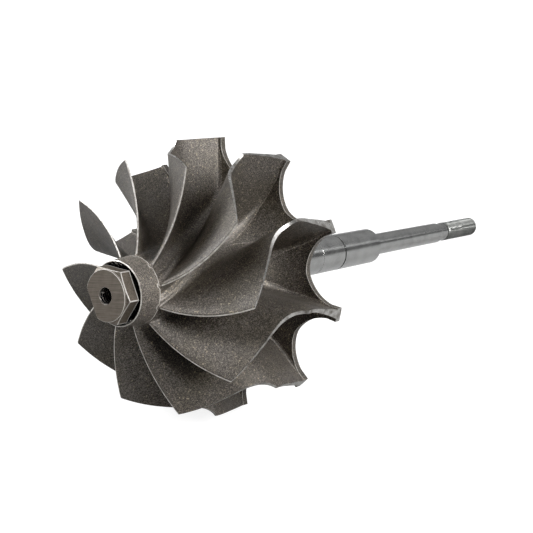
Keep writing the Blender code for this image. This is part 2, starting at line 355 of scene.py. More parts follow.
def edgeMaterial():
    # Turned blade tips: bright, with fine lines round the wheel
    finish = edgeFinish
    material, tree, shader = nodeMaterial("machinedEdge")
    along = scaled(tree, wheelCoordinatesNode(tree), stationOnly)
    lines = noise(tree, along, finish["line"], detail=2.0)
    stains = noise(tree, objectCoordinates(tree), finish["patch"])
    colour = mixColour(tree, remap(tree, stains, *finish["stainRange"]), finish["colour"], finish["stain"])
    dress(tree, shader, finish, colour, finish["metallic"], stains, lines)
    return material


noseFinish = {
    "colour": (0.182, 0.157, 0.131),
    "stain": (0.060, 0.050, 0.040),
    "patch": 2.4,
    "stainRange": (0.35, 0.7),
    "stainShare": 0.3,
    "scratch": 0.13,
    "scratchTurn": 17.3,  # how far the scratches rise from level
    "scratchStretch": (0.012, 0.3, 1.0),
    "scratchRange": (0.38, 0.62),
    "scratchShare": 0.6,
    "rubbedHighlight": (0.66, 0.64, 0.61),  # its edges, rubbed and painted as highlights
    "rubHighlightWidth": 0.24,
    "rimShare": 0.6,  # of that width, on the side of its round face
    "rimInset": 0.04,
    "cornerInset": 0.07,
    "hexagonGap": 0.03,  # from the round face's edge to the rubbed, painted highlight lines on the hexagon
    "backOver": 0.1,
    "roughness": (0.28, 0.42),
    "metallic": 0.7,
    "bump": (0.016, 0.7),
}


def noseCorner():
    # The hexagon's radius over its corners
    return hexNose["flats"] / 2 / math.cos(math.pi / 6)


def band(tree, value, low, high, soft=0.03):
    # One between low and high, zero outside them, in millimetres
    rise = remap(tree, value, (low - soft) * millimetre, low * millimetre)
    fall = remap(tree, value, high * millimetre, (high + soft) * millimetre, 1.0, 0.0)
    return arithmetic(tree, "MULTIPLY", rise, fall)


def noseEdgeHighlights(tree, where):
    # Where the nose's edges are painted pale, as rubbed edges and painted highlights, from the shape's own
    # sizes
    n, finish = hexNose, noseFinish
    wide, face, corner, over = finish["rubHighlightWidth"], n["faceRadius"], noseCorner(), n["over"]
    split = addNode(tree, "ShaderNodeSeparateXYZ", {"Vector": where})
    x, station, z = (split.outputs[axis] for axis in "XYZ")
    radius = vectorLength(tree, addNode(tree, "ShaderNodeCombineXYZ", {"X": x, "Z": z}).outputs["Vector"])
    beyond = arithmetic(tree, "SUBTRACT", radius, face * millimetre)
    cone = arithmetic(tree, "MULTIPLY", beyond, math.tan(math.radians(n["frontAngle"])))
    behind = arithmetic(tree, "SUBTRACT", station, n["faceBack"] * millimetre)
    behind = arithmetic(tree, "SUBTRACT", behind, cone)
    outside = band(tree, radius, face + finish["hexagonGap"], corner + over)
    found = band(tree, radius, corner - finish["cornerInset"], corner + over)
    rim = band(tree, radius, face - finish["rimInset"], corner)
    for first, second in (
        (rim, band(tree, station, -over, wide * finish["rimShare"])),
        (band(tree, behind, finish["hexagonGap"], wide), outside),
        (band(tree, station, n["back"] - wide, n["back"] + finish["backOver"]), outside),
    ):
        found = arithmetic(tree, "MAXIMUM", found, arithmetic(tree, "MULTIPLY", first, second))
    return found


def noseMaterial():
    # Ground and milled nose: slightly brown, with fine scratches across its face and bright edges, rubbed
    # and painted as highlights
    finish = noseFinish
    material, tree, shader = nodeMaterial("machinedNose")
    where = wheelCoordinatesNode(tree)
    turn = (0.0, math.radians(finish["scratchTurn"]), 0.0)
    along = addNode(tree, "ShaderNodeMapping", {"Vector": where, "Rotation": turn}).outputs["Vector"]
    along = scaled(tree, along, finish["scratchStretch"])
    scratches = noise(tree, along, finish["scratch"], roughness=0.7)
    stains = noise(tree, where, finish["patch"])
    stained = remap(tree, stains, *finish["stainRange"], 0.0, finish["stainShare"])
    scratched = remap(tree, scratches, *finish["scratchRange"], 0.0, finish["scratchShare"])
    colour = mixColour(tree, arithmetic(tree, "ADD", stained, scratched), finish["colour"], finish["stain"])
    colour = mixColour(tree, noseEdgeHighlights(tree, where), colour, finish["rubbedHighlight"])
    dress(tree, shader, finish, colour, finish["metallic"], stains, scratches)
    return material


steelFinish = {
    "colour": (0.485, 0.490, 0.485),
    "stain": (0.395, 0.398, 0.395),
    "patch": 4.0,
    "stainRange": (0.4, 0.7),
    "line": 0.10,
    "band": 3.0,
    "roughness": (0.16, 0.24),
    "metallic": 1.0,
    "bump": (0.008, 0.35),
}
threadFinish = {
    **steelFinish,
    "colour": (0.245, 0.250, 0.243),
    "stain": (0.165, 0.170, 0.165),
    "roughness": (0.32, 0.42),
}


def steelMaterial(name, finish):
    # Ground shaft: bright steel with fine rings round it; its thread is duller
    material, tree, shader = nodeMaterial(name)
    where = wheelCoordinatesNode(tree)
    along = scaled(tree, where, stationOnly)
    cloud = remap(tree, noise(tree, where, finish["patch"]), *finish["stainRange"])
    colour = mixColour(tree, cloud, finish["colour"], finish["stain"])
    bands, lines = noise(tree, along, finish["band"]), noise(tree, along, finish["line"], roughness=0.7)
    dress(tree, shader, finish, colour, finish["metallic"], bands, lines)
    return material


# The casting: hub, back disc and blades in one skin

castSlot, machinedSlot, wornHighlightSlot, darkSlot, creaseHighlightSlot = range(5)  # its materials, in this order

casting = {
    "camber": (  # station along the axis, angle ahead of the blade's tip on the disc in degrees
        (9.4, 46.2),
        (15.3, 26.65),
        (20.0, 12.3),
        (25.0, 0.3),
        (30.8, -4.5),
        (37.4, -3.0),
        (44.0, 0.0),
    ),
    "hubCurve": (
        (wheel["rootStart"], wheel["rootRadius"]),
        (30.0, 8.8),
        (41.0, 12.0),
        (wheel["coreFront"], wheel["coreRadius"]),
    ),
    "shroudCurve": (
        (wheel["exducerTip"], wheel["exducerRadius"]),
        (22.0, wheel["exducerRadius"]),
        (28.5, 30.0),
        (wheel["inducerFront"], wheel["inducerRadius"]),
    ),
    "hubShare": 0.72,  # of the way along the blade's root, the rest follows the lobe
    "scallopPower": 1.7,
    "halvings": 40,  # steps in the search for a scallop's edge
    "tipThickness": ((0.0, 0.34), (0.3, 0.65), (0.6, 0.85), (1.0, 0.72)),
    "rootThickness": (0.55, 2.2),  # at the outlet, at the inlet
    "taperPower": 1.7,
    # Up to 0.39 the fillets of two blades meet in the passage, beyond it the floor opens between them
    "filletRadius": (
        (0.0, 0.45),
        (0.06, 0.8),
        (0.16, 2.0),
        (0.39, 3.1),
        (0.504, 2.1),
        (0.576, 1.5),
        (0.634, 0.85),
        (1.0, 0.7),
    ),
    "filletRoom": 0.06,  # kept free beyond a fillet's foot
    "edgeRound": 0.08,
    "creaseWidth": 0.24,
    "creaseShare": 0.3,  # of the fillet at most
    "creaseStart": 0.37,
    "valleyDip": 1.0,  # how far the passages start below the boss
    "valleyRun": 0.22,  # share of the root over which they come up again
    "straighten": 0.3,  # from here on the passage's middle line leaves the camber for the scallop's middle
    "rows": 50,
    "hubRows": 0.66,  # share of the rows that lie on the hub
    "lobeCrowding": 1.5,  # the others crowd towards it
    "floorSteps": 6,
    "filletSteps": 6,
    "sideSteps": 14,
    "acrossSteps": 4,
    "scallopThinning": 0.5,  # the scallops' back edge is chamfered
    "wallLine": 0.16,  # and their front edge rubbed bright, also a painted highlight line
    "backCone": 1.6,
    "backRadius": 12.5,
    "stubCurve": ((46.6, 10.6), (47.0, wheel["stubRadius"]), (48.6, wheel["stubRadius"])),
    "stubSteps": 6,
    "recessRadius": 7.25,
    "recessFloor": 4.9,
    "bossEdge": 0.15,
    # Rows from the blades' roots forward to the boss's end: share of what is left of the way, material
    "bossRows": (
        (0.02, castSlot),
        # a thin band in the worn material round the boss's end: rubbed, and a painted highlight line
        (0.038, wornHighlightSlot),
        (0.15, castSlot),
        (0.4, castSlot),
        (0.7, castSlot),
        (1.0, castSlot),
    ),
    "neckRadius": 5.0,
    "stubFace": 50.12,
    "rimsApart": 20.0,  # a station between the front rim and the back rim of the blades' skin
    "tipMargin": 0.02,  # a point this near to the disc's radius is on a tip
    "weld": 0.0008,
    "softWidth": 0.07,
    "sharpAngle": 38.0,
}


def mixValue(low, high, k):
    return low + (high - low) * k


def bezier(points, t):
    k = 1.0 - t
    weights = (k**3, 3 * k * k * t, 3 * k * t * t, t**3)
    return tuple(sum(w * p[i] for w, p in zip(weights, points)) for i in (0, 1))


def camberAngle(s):
    # A smooth cubic through the named stations
    stations = casting["camber"]
    last = len(stations) - 1
    slopes = []
    for i in range(last + 1):
        a, b = stations[max(i - 1, 0)], stations[min(i + 1, last)]
        slopes.append((b[1] - a[1]) / (b[0] - a[0]))
    i = min(max(sum(p[0] <= s for p in stations) - 1, 0), last - 1)
    h = stations[i + 1][0] - stations[i][0]
    t = min(max((s - stations[i][0]) / h, 0.0), 1.0)
    value = (
        (2 * t**3 - 3 * t**2 + 1) * stations[i][1]
        + (t**3 - 2 * t**2 + t) * h * slopes[i]
        + (3 * t**2 - 2 * t**3) * stations[i + 1][1]
        + (t**3 - t**2) * h * slopes[i + 1]
    )
    return math.radians(value)


def rootPoint(t):
    # Station and radius of the blade's root, t from 0 at the outlet to 1 at the lobe's tip
    share = casting["hubShare"]
    if t <= share:
        return bezier(casting["hubCurve"], t / share)
    k = (t - share) / (1.0 - share)
    s = mixValue(wheel["coreFront"], wheel["rimFront"], k)
    return s, mixValue(wheel["coreRadius"], wheel["inducerRadius"], k)


def ruledPoint(t, q):
    # On the straight line from the root to the blade's tip, at the share q of it
    s0, r0 = rootPoint(t)
    s1, r1 = bezier(casting["shroudCurve"], t)
    return mixValue(s0, s1, q), min(mixValue(r0, r1, q), wheel["inducerRadius"])


def lobeHalfAngle(r):
    # Half the angle that a lobe of the disc takes up at radius r, between two scallops
    if r <= wheel["coreRadius"]:
        return pitch / 2
    mouth = pitch / 2 - 0.5 * wheel["barWidth"] / wheel["inducerRadius"]
    wide = wheel["inducerRadius"] * math.sin(mouth)
    top = wheel["inducerRadius"] * math.cos(mouth)
    power = casting["scallopPower"]
    low, high = 0.0, mouth
    for _ in range(casting["halvings"]):
        mid = 0.5 * (low + high)
        across = (r * math.sin(mid) / wide) ** power
        down = (max(top - r * math.cos(mid), 0.0) / (top - wheel["coreRadius"])) ** power
        if across + down < 1.0:
            low = mid
        else:
            high = mid
    return pitch / 2 - low


def stepped(stations, t):
    # Straight lines between (t, value) stations
    for (t0, low), (t1, high) in zip(stations, stations[1:]):
        if t <= t1:
            return mixValue(low, high, (t - t0) / (t1 - t0))
    return stations[-1][1]


def bladeHalf(t, q):
    # Half the blade's thickness
    edge = stepped(casting["tipThickness"], t)
    root = mixValue(*casting["rootThickness"], t)
    return 0.5 * (edge + (root - edge) * (1.0 - q) ** casting["taperPower"])


def leanCosine(s, r):
    # The cosine of the blade's lean away from the axis there
    step = 0.05
    slope = (camberAngle(s + step) - camberAngle(s - step)) / (2 * step)
    return math.cos(math.atan(r * slope))


def filletAt(t):
    # The fillet's radius at the blade's root, as far as there is room for it
    radius = stepped(casting["filletRadius"], t)
    s, r = rootPoint(t)
    aside = abs(camberAngle(s)) if t > casting["hubShare"] else 0.0  # from the lobe's middle
    room = (lobeHalfAngle(r) - aside) * r * leanCosine(s, r) - bladeHalf(t, 0.0) - casting["filletRoom"]
    return min(radius, room)


def halfColumns():
    # From mid passage over the floor and the fillet up the blade's side, as (zone, share)
    n = casting
    floor = [("floor", 1 - i / n["floorSteps"]) for i in range(n["floorSteps"])]
    fillet = [("fillet", 1 - i / n["filletSteps"]) for i in range(n["filletSteps"])]
    side = [("side", i / n["sideSteps"]) for i in range(n["sideSteps"] + 1)]
    return floor + fillet + side


def floorPoint(t, share, side):
    # From the fillet's foot to the passage's middle line, which the neighbouring blade shares
    s, r = rootPoint(t)
    foot = camberAngle(s) + side * (bladeHalf(t, 0.0) + filletAt(t)) / (r * leanCosine(s, r))
    start = casting["straighten"]
    k = min(max((t - start) / (casting["hubShare"] - start), 0.0), 1.0)
    middle = camberAngle(s) * (1 - k * k * (3 - 2 * k))
    angle = mixValue(foot, middle + side * lobeHalfAngle(r), share)
    dip = casting["valleyDip"] * max(1 - t / casting["valleyRun"], 0.0) ** 2
    return s, r - dip * share * share * (3 - 2 * share), angle


def sidePoint(t, zone, share):
    # Station, radius and angle from the blade's middle surface, on one side of the blade
    s0, r0 = rootPoint(t)
    s1, r1 = bezier(casting["shroudCurve"], t)
    height = math.hypot(s1 - s0, r1 - r0)
    radius = filletAt(t)
    if zone == "fillet":
        first = 1 - 1 / casting["filletSteps"]
        foot = 1 - min(casting["creaseWidth"] / (radius * math.pi / 2), casting["creaseShare"])
        if share > first:
            way = mixValue(foot, 1.0, (share - first) / (1 - first))
        else:
            way = foot * share / first
        turn = math.pi / 2 * way
        q = radius * (1 - math.sin(turn)) / height
        extra = radius * (1 - math.cos(turn))
    else:
        q = mixValue(radius / height, 1.0, share)
        extra = 0.0
    s, r = ruledPoint(t, q)
    return s, r, (bladeHalf(t, q) + extra) / (r * leanCosine(s, r))


def outletBulge(across, zone, share):
    # How far a point of the rounded outlet edge stands forward of the edge's ends
    bulge = math.sqrt(max(1.0 - across * across, 0.0))
    if zone != "fillet":
        return casting["edgeRound"] * bulge
    extra = filletAt(0.0) * (1 - math.cos(share * math.pi / 2))
    return (casting["edgeRound"] + extra) * bulge


def gridOver(bm, columns, rows, spot):
    # A grid whose points are bent to spot(column, row); returns its faces with their column and row
    made = bmesh.ops.create_grid(bm, x_segments=columns, y_segments=rows, size=0.5)["verts"]
    index = {v: (round((v.co.x + 0.5) * columns), round((v.co.y + 0.5) * rows)) for v in made}
    for v, (i, j) in index.items():
        v.co = spot(i, j)
    faces = {f for v in made for f in v.link_faces}
    return {f: tuple(min(index[v][k] for v in f.verts) for k in (0, 1)) for f in faces}


def rowPosition(j):
    # Where row j stands on the blade's root, from 0 at the outlet to 1 at the lobe's tip
    rows = casting["rows"]
    share = casting["hubShare"]
    core = round(rows * casting["hubRows"])
    if j <= core:
        return share * j / core
    return share + (1.0 - share) * ((j - core) / (rows - core)) ** casting["lobeCrowding"]


def addBlade(bm, middle):
    # One blade with its share of the floor: both sides and the tip as one grid, then the two end edges
    half = halfColumns()
    steps = casting["acrossSteps"]
    across = [2 * i / steps - 1 for i in range(1, steps)]
    top = len(half) - 1
    count = 2 * top + len(across) + 1

    def spot(i, j):
        t = rowPosition(j)
        if i <= top or i > top + len(across):
            side = -1 if i <= top else 1
            zone, share = half[i if i <= top else count - i]
            if zone == "floor":
                s, r, angle = floorPoint(t, share, side)
                return wheelPoint(s, r, middle + angle)
            s, r, angle = sidePoint(t, zone, share)
            return wheelPoint(s, r, middle + camberAngle(s) + side * angle)
        x = across[i - top - 1]
        s, r, angle = sidePoint(t, "side", 1.0)
        forward = outletBulge(x, "side", 1.0) if j == 0 else 0.0
        return wheelPoint(s - forward, r, middle + camberAngle(s) + x * angle)

    # Past creaseStart the columns at the fillets' foot take the paler cast copy: a painted highlight
    crease = (casting["floorSteps"], count - casting["floorSteps"] - 1)
    for face, (column, row) in gridOver(bm, count, casting["rows"], spot).items():
        if top <= column <= top + len(across):
            face.material_index = machinedSlot
        elif column in crease and rowPosition(row) > casting["creaseStart"]:
            face.material_index = creaseHighlightSlot

    wall = [c for c in half if c[0] != "floor"]

    def edgeSpot(t, rounded):
        def spot(i, j):
            x = 2 * i / steps - 1
            zone, share = wall[j]
            s, r, angle = sidePoint(t, zone, share)
            forward = outletBulge(x, zone, share) if rounded else 0.0
            return wheelPoint(s - forward, r, middle + camberAngle(s) + x * angle)
        return spot

    for face, (column, row) in gridOver(bm, steps, len(wall) - 1, edgeSpot(0.0, True)).items():
        # One half of the outlet edge, above the fillet, is painted bright: a painted highlight along that
        # corner
        rubbedHighlight = row >= casting["filletSteps"] and column >= steps / 2
        face.material_index = wornHighlightSlot if rubbedHighlight else castSlot
    for face in gridOver(bm, steps, len(wall) - 1, edgeSpot(1.0, False)):
        face.material_index = machinedSlot


def pushLoop(bm, edges, spot, slot=castSlot):
    # Extrudes an open loop and moves its new points to spot(s, r), at the same angle
    grown = bmesh.ops.extrude_edge_only(bm, edges=edges)["geom"]
    for face in (g for g in grown if isinstance(g, bmesh.types.BMFace)):
        face.material_index = slot
    for v in (g for g in grown if isinstance(g, bmesh.types.BMVert)):
        s, r, angle = wheelCoordinates(v.co)
        v.co = wheelPoint(*spot(s, r), angle)
    return [g for g in grown if isinstance(g, bmesh.types.BMEdge) and g.is_boundary]


def makeCasting(materials):
    n = casting
    bm = bmesh.new()
    for index in range(wheel["blades"]):
        addBlade(bm, pitch / 2 + index * pitch)
    bmesh.ops.remove_doubles(bm, verts=bm.verts, dist=n["weld"])
    rims = [e for e in bm.edges if e.is_boundary]
    front = [e for e in rims if e.verts[0].co.y < n["rimsApart"]]
    back = [e for e in rims if e.verts[0].co.y > n["rimsApart"]]
    bossEnd = wheel["bossFront"] + n["bossEdge"]
    for k, slot in n["bossRows"]:

        def towardsNose(s, r):
            station = mixValue(s, bossEnd, k)
            share = (station - bossEnd) / (wheel["rootStart"] - bossEnd)
            return station, mixValue(wheel["bossRadius"], wheel["rootRadius"], share)

        front = pushLoop(bm, front, towardsNose, slot)
    rim = wheel["bossRadius"] - n["bossEdge"]
    # The boss's rim takes the worn material: a rubbed edge and a painted highlight line
    for s, r, slot in (
        (wheel["bossFront"], rim, wornHighlightSlot),
        (wheel["bossFront"], n["recessRadius"], castSlot),
        # the recess's floor and neck are painted black: painted shade
        (n["recessFloor"], n["recessRadius"], darkSlot),
        (n["recessFloor"], n["neckRadius"], darkSlot),
    ):
        front = pushLoop(bm, front, lambda a, b: (s, r), slot)
    thin = n["scallopThinning"]
    discBack = wheel["discBack"]
    reach = wheel["inducerRadius"] - n["tipMargin"]
    # The scallops' front edge takes the worn material: rubbed, and a painted highlight line
    back = pushLoop(bm, back, lambda s, r: (s + n["wallLine"], r), wornHighlightSlot)
    back = pushLoop(bm, back, lambda s, r: (discBack - (thin if r < reach else 0.0), r))
    back = pushLoop(bm, back, lambda s, r: (discBack, r - (thin if r < reach else 0.0)))
    rows = [
        (discBack, wheel["coreRadius"] - thin),
        (discBack + n["backCone"] * 0.5, 0.5 * (wheel["coreRadius"] + n["backRadius"])),
        (discBack + n["backCone"], n["backRadius"]),
    ]
    curve = (rows[-1], *n["stubCurve"])
    rows += [bezier(curve, i / n["stubSteps"]) for i in range(1, n["stubSteps"] + 1)]
    rows.append((n["stubFace"], wheel["stubRadius"]))
    for s, r in rows:
        back = pushLoop(bm, back, lambda a, b: (s, min(b, r)))
    fillHoles(bm)
    for face in bm.faces:
        if all(wheelCoordinates(v.co)[1] > reach for v in face.verts):
            face.material_index = machinedSlot
    piece = finishMesh("casting", bm, materials, n["sharpAngle"])
    # The rounded edges take the worn material: rubbed edges and painted edge highlights
    softenEdges(piece, n["softWidth"], n["sharpAngle"], wornHighlightSlot)
    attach(piece, "root")
    parts = [f"{kind}_{i + 1:02d}" for kind in ("blade", "disc_lobe") for i in range(wheel["blades"])]
    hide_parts("hub", *parts)
    print("casting made:", len(piece.data.polygons), "faces")


noseSlot, noseEdgeSlot, noseHoleSlot = range(3)  # its materials, in this order

hexNose = {
    "flats": 12.0,
    "turn": 24.0,  # of one corner from straight down
    "back": 3.6,
    "neckRadius": 5.4,
    "neckEnd": 5.4,
    "faceRadius": 5.95,
    "faceBack": 0.45,
    "frontAngle": 14.0,
    "cutTurn": 53.0,  # side where the wheel was ground to balance it
    "cutFront": 4.7,  # distance of the ground flat from the axis at the face
    "cutEnd": 3.3,  # where it runs out on the hexagon
    "holeRadius": 1.95,
    "threadFloor": 1.68,
    "threadPitch": 0.7,
    "threadTurns": 6,
    "holePoint": 0.5,
    "holeEnd": 0.1,
    "holeMargin": 0.01,
    "holeFront": 0.05,  # the hole is dark from here on
    "over": 1.0,  # how far the cutters stand out of what they cut
    "reach": 3.0,  # from the round face's edge out past the hexagon's corners
    "softWidth": 0.13,
    "sharpAngle": 11.0,
    "sides": 96,
}


def cutWith(piece, cutter, operation):
    boolean = piece.modifiers.new(cutter.name, "BOOLEAN")
    boolean.operation = operation
    boolean.solver = "EXACT"
    boolean.object = cutter


def applyModifiers(piece, cutters):
    # Keeps the shape that the modifiers give and removes the cutters
    seen = piece.evaluated_get(bpy.context.evaluated_depsgraph_get())
    mesh = bpy.data.meshes.new_from_object(seen)
    piece.modifiers.clear()
    piece.data = mesh
    for cutter in cutters:
        bpy.data.objects.remove(cutter)


def grindFlat(bm):
    # Takes a sloping flat off one side of the hexagon, deepest at the face
    n = hexNose
    outward = wheelPoint(0.0, 1.0, math.radians(n["cutTurn"]))
    slope = (n["flats"] / 2 - n["cutFront"]) / n["cutEnd"]
    bmesh.ops.bisect_plane(
        bm,
        geom=bm.verts[:] + bm.edges[:] + bm.faces[:],
        plane_co=outward * n["cutFront"],
        plane_no=outward - Vector((0.0, slope, 0.0)),
        clear_outer=True,
    )
    fillHoles(bm)


def tappedHole():
    # The tapped centre hole as a turned cutter with one ring for each turn of its thread
    n = hexNose
    profile = [(-n["over"], n["holeRadius"])]
    for turn in range(n["threadTurns"]):
        start = (turn + 0.5) * n["threadPitch"]
        profile += [(start, n["holeRadius"]), (start + n["threadPitch"] / 2, n["threadFloor"])]
    depth = (n["threadTurns"] + 0.5) * n["threadPitch"]
    profile += [(depth, n["threadFloor"]), (depth + n["holePoint"], n["holeEnd"])]
    return profile


def makeNose(material, wornHighlight, dark):
    n = hexNose
    corner = noseCorner()
    bm = bmesh.new()
    ring = bmesh.ops.create_circle(bm, cap_ends=True, segments=6, radius=corner)["verts"]
    for i, v in enumerate(ring):
        v.co = wheelPoint(0.0, corner, math.radians(n["turn"]) + i * math.pi / 3)
    grown = bmesh.ops.extrude_face_region(bm, geom=bm.faces[:])["geom"]
    ends = [g for g in grown if isinstance(g, bmesh.types.BMVert)]
    bmesh.ops.translate(bm, verts=ends, vec=(0, n["neckEnd"], 0))
    grindFlat(bm)
    nose = finishMesh("hexNose", bm, (material,))
    widest = n["faceRadius"] + n["reach"]
    envelope = [
        (-n["over"], n["faceRadius"]),
        (n["faceBack"], n["faceRadius"]),
        (n["faceBack"] + n["reach"] * math.tan(math.radians(n["frontAngle"])), widest),
        (n["back"], widest),
        (n["back"], n["neckRadius"]),
        (n["neckEnd"] + n["over"], n["neckRadius"]),
    ]
    shape = finishMesh("noseShape", turned(envelope, n["sides"]), ())
    hole = finishMesh("noseHole", turned(tappedHole(), n["sides"] // 2), ())
    cutWith(nose, shape, "INTERSECT")
    cutWith(nose, hole, "DIFFERENCE")
    applyModifiers(nose, (shape, hole))
    nose.data.shade_smooth()
    nose.data.set_sharp_from_angle(angle=math.radians(n["sharpAngle"]))
    nose.data.materials.clear()
    for finish in (material, wornHighlight, dark):
        nose.data.materials.append(finish)
    toWheel = wheelToRow.inverted()
    for face in nose.data.polygons:
        s, r, _ = wheelCoordinates(toWheel @ face.center)
        # Faces inside the hole are painted black: painted shade
        inside = r < n["holeRadius"] - n["holeMargin"] and s > n["holeFront"]
        face.material_index = noseHoleSlot if inside else noseSlot
    # The rounded edges take the worn material: rubbed edges and painted edge highlights
    softenEdges(nose, n["softWidth"], n["sharpAngle"], noseEdgeSlot)
    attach(nose, "root")
    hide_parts("hex_nose")
    print("nose made:", len(nose.data.polygons), "faces")


steelShaft = {
    "start": 50.18,
    "collarEnd": 64.3,
    "collarEdge": 0.6,
    "ringGroove": (55.0, 56.8, 7.8),
    "journalRadius": 5.08,
    "journalRelief": 0.05,
    "frontJournal": 79.2,
    "oilGroove": 90.1,
    "oilGrooveHalf": 0.3,
    "oilGrooveDepth": 0.45,
    "journalEnd": 108.8,
    "shoulder": 110.4,
    "shoulderRadius": 3.7,
    "stubRadius": 3.17,
    "stubEnd": 150.6,
    "reliefRadius": 2.82,
    "reliefSlope": 0.9,
    "reliefOver": 0.2,  # how far the relief runs under the threaded end
    "seatEnd": 0.6,
    "seatStep": 0.4,
    "endRadius": 1.0,
    "threadStart": 155.4,
    "softWidth": 0.1,
    "sharpAngle": 20.0,
    "sides": 128,
}


def makeShaft(material):
    n = steelShaft
    relieved = n["journalRadius"] - n["journalRelief"]
    grooveFront, grooveBack, grooveFloor = n["ringGroove"]
    journal = n["journalRadius"]
    profile = [
        (n["start"], n["endRadius"]),
        (n["start"], wheel["stubRadius"]),
        (grooveFront, wheel["stubRadius"]),
        (grooveFront, grooveFloor),
        (grooveBack, grooveFloor),
        (grooveBack, wheel["stubRadius"]),
        (n["collarEnd"] - n["collarEdge"], wheel["stubRadius"]),
        (n["collarEnd"], wheel["stubRadius"] - n["collarEdge"]),
        (n["collarEnd"], relieved + n["collarEdge"]),
        (n["collarEnd"] + n["collarEdge"], relieved),
        (n["frontJournal"], relieved),
        (n["frontJournal"], journal),
        (n["oilGroove"] - n["oilGrooveHalf"], journal),
        (n["oilGroove"] - n["oilGrooveHalf"], journal - n["oilGrooveDepth"]),
        (n["oilGroove"] + n["oilGrooveHalf"], journal - n["oilGrooveDepth"]),
        (n["oilGroove"] + n["oilGrooveHalf"], journal),
        (n["journalEnd"], journal),
        (n["shoulder"], n["shoulderRadius"]),
        (n["shoulder"], n["stubRadius"]),
        (n["stubEnd"], n["stubRadius"]),
        (n["stubEnd"] + n["reliefSlope"], n["reliefRadius"]),
        (n["threadStart"] + n["reliefOver"], n["reliefRadius"]),
        (n["threadStart"] + n["seatEnd"], n["reliefRadius"] - n["seatStep"]),
        (n["threadStart"] + n["seatEnd"], n["endRadius"]),
    ]
    shaft = finishMesh("shaft", turned(profile, n["sides"]), (material,), n["sharpAngle"])
    softenEdges(shaft, n["softWidth"], n["sharpAngle"])
    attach(shaft, "root")
    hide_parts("shaft")
    print("shaft made:", len(shaft.data.polygons), "faces")


thread = {
    "start": steelShaft["threadStart"],
    "pitch": 0.907,
    "depth": 0.5,
    "flank": 1.6,  # how steeply a tooth rises
    "root": 0.2,  # and how much of the bottom stays flat
    "steps": 8,
    "sides": 72,
    "chamfer": wheel["endChamfer"],
    "frontRadius": 1.0,
    "endRadius": 0.6,
    "margin": 0.01,
    "sharpAngle": 50.0,
}


def makeThread(material):
    # A turned bar whose skin then follows the thread's helix
    n = thread
    end = wheel["shaftEnd"]
    radius = wheel["threadRadius"]
    count = round((end - n["chamfer"] - n["start"]) / n["pitch"] * n["steps"])
    body = [mixValue(n["start"], end - n["chamfer"], i / count) for i in range(count + 1)]
    profile = [(n["start"], n["frontRadius"]), (n["start"], radius - n["depth"])]
    profile += [(s, radius) for s in body]
    profile += [(end, radius - n["chamfer"]), (end, n["endRadius"])]
    bm = turned(profile, n["sides"])
    for v in bm.verts:
        s, r, angle = wheelCoordinates(v.co)
        if r < radius - n["chamfer"] + n["margin"]:
            continue
        phase = (s / n["pitch"] + angle / math.tau) % 1.0
        tooth = min(max(n["flank"] * abs(2 * phase - 1) - n["root"], 0.0), 1.0)
        fade = min(max((s - n["start"]) / n["pitch"], 0.0), 1.0)
        fade *= min(max((end - n["chamfer"] - s) / n["chamfer"], 0.0), 1.0)
        v.co = wheelPoint(s, r - n["depth"] * (1.0 - tooth) * fade, angle)
    piece = finishMesh("threadedEnd", bm, (material,), n["sharpAngle"])
    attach(piece, "root")
    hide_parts("shaft")
    print("thread made:", len(piece.data.polygons), "faces")


# Studio

white = (1.0, 1.0, 1.0, 1.0)

studio = {
    "floorSize": 12.0,
    "floorColour": (0.28, 0.28, 0.28),
    "floorPale": (0.288, 0.288, 0.286),
    "floorPatch": 40.0,
    "floorRoughness": 0.9,
    "floorSpecular": 0.1,
    "floorGlow": (0.82, 1.0),  # near and far: the camera sees the table paler than it lights the object
    "glowReach": (0.5, 2.5),
    "worldDim": 0.04,  # on the camera's side
    "worldBright": 0.48,  # on the far side
    "brightWay": (-0.7, 0.7, 0.15),  # from the camera's side to the far side
    "brightReach": (-0.9, 0.9),
    "horizon": 0.45,  # share of the room's light that is left near the floor
    "horizonReach": (0.05, 0.55),
    "lampDistance": 0.9,
}
wheelMiddle = (0.0, -0.06, 0.035)
shaftMiddle = (0.0, 0.03, 0.015)

# Name, azimuth counted from +X towards +Y, elevation, target, size in metres, brightness and colour
lamps = (
    ("leftLowSoftbox", -150.0, 12.0, wheelMiddle, (0.4, 0.4), 8.0, (0.98, 0.99, 1.0)),
    ("leftSoftbox", 180.0, 36.0, wheelMiddle, (0.4, 0.4), 14.5, (0.96, 0.98, 1.0)),
    ("rightSoftbox", 0.0, 36.0, wheelMiddle, (0.4, 0.4), 23.0, (1.0, 0.99, 0.98)),
    ("overheadSoftbox", -120.0, 62.0, wheelMiddle, (0.4, 0.4), 5.6, (1.0, 0.99, 0.97)),
    ("highBackSoftbox", 20.0, 62.0, wheelMiddle, (0.4, 0.4), 2.0, (1.0, 1.0, 1.0)),
    ("backSoftbox", 40.0, 37.0, wheelMiddle, (0.30, 0.36), 2.2, (1.0, 1.0, 1.0)),
    ("shaftStrip", 66.0, 33.0, shaftMiddle, (0.08, 0.8), 0.8, (1.0, 1.0, 1.0)),
)


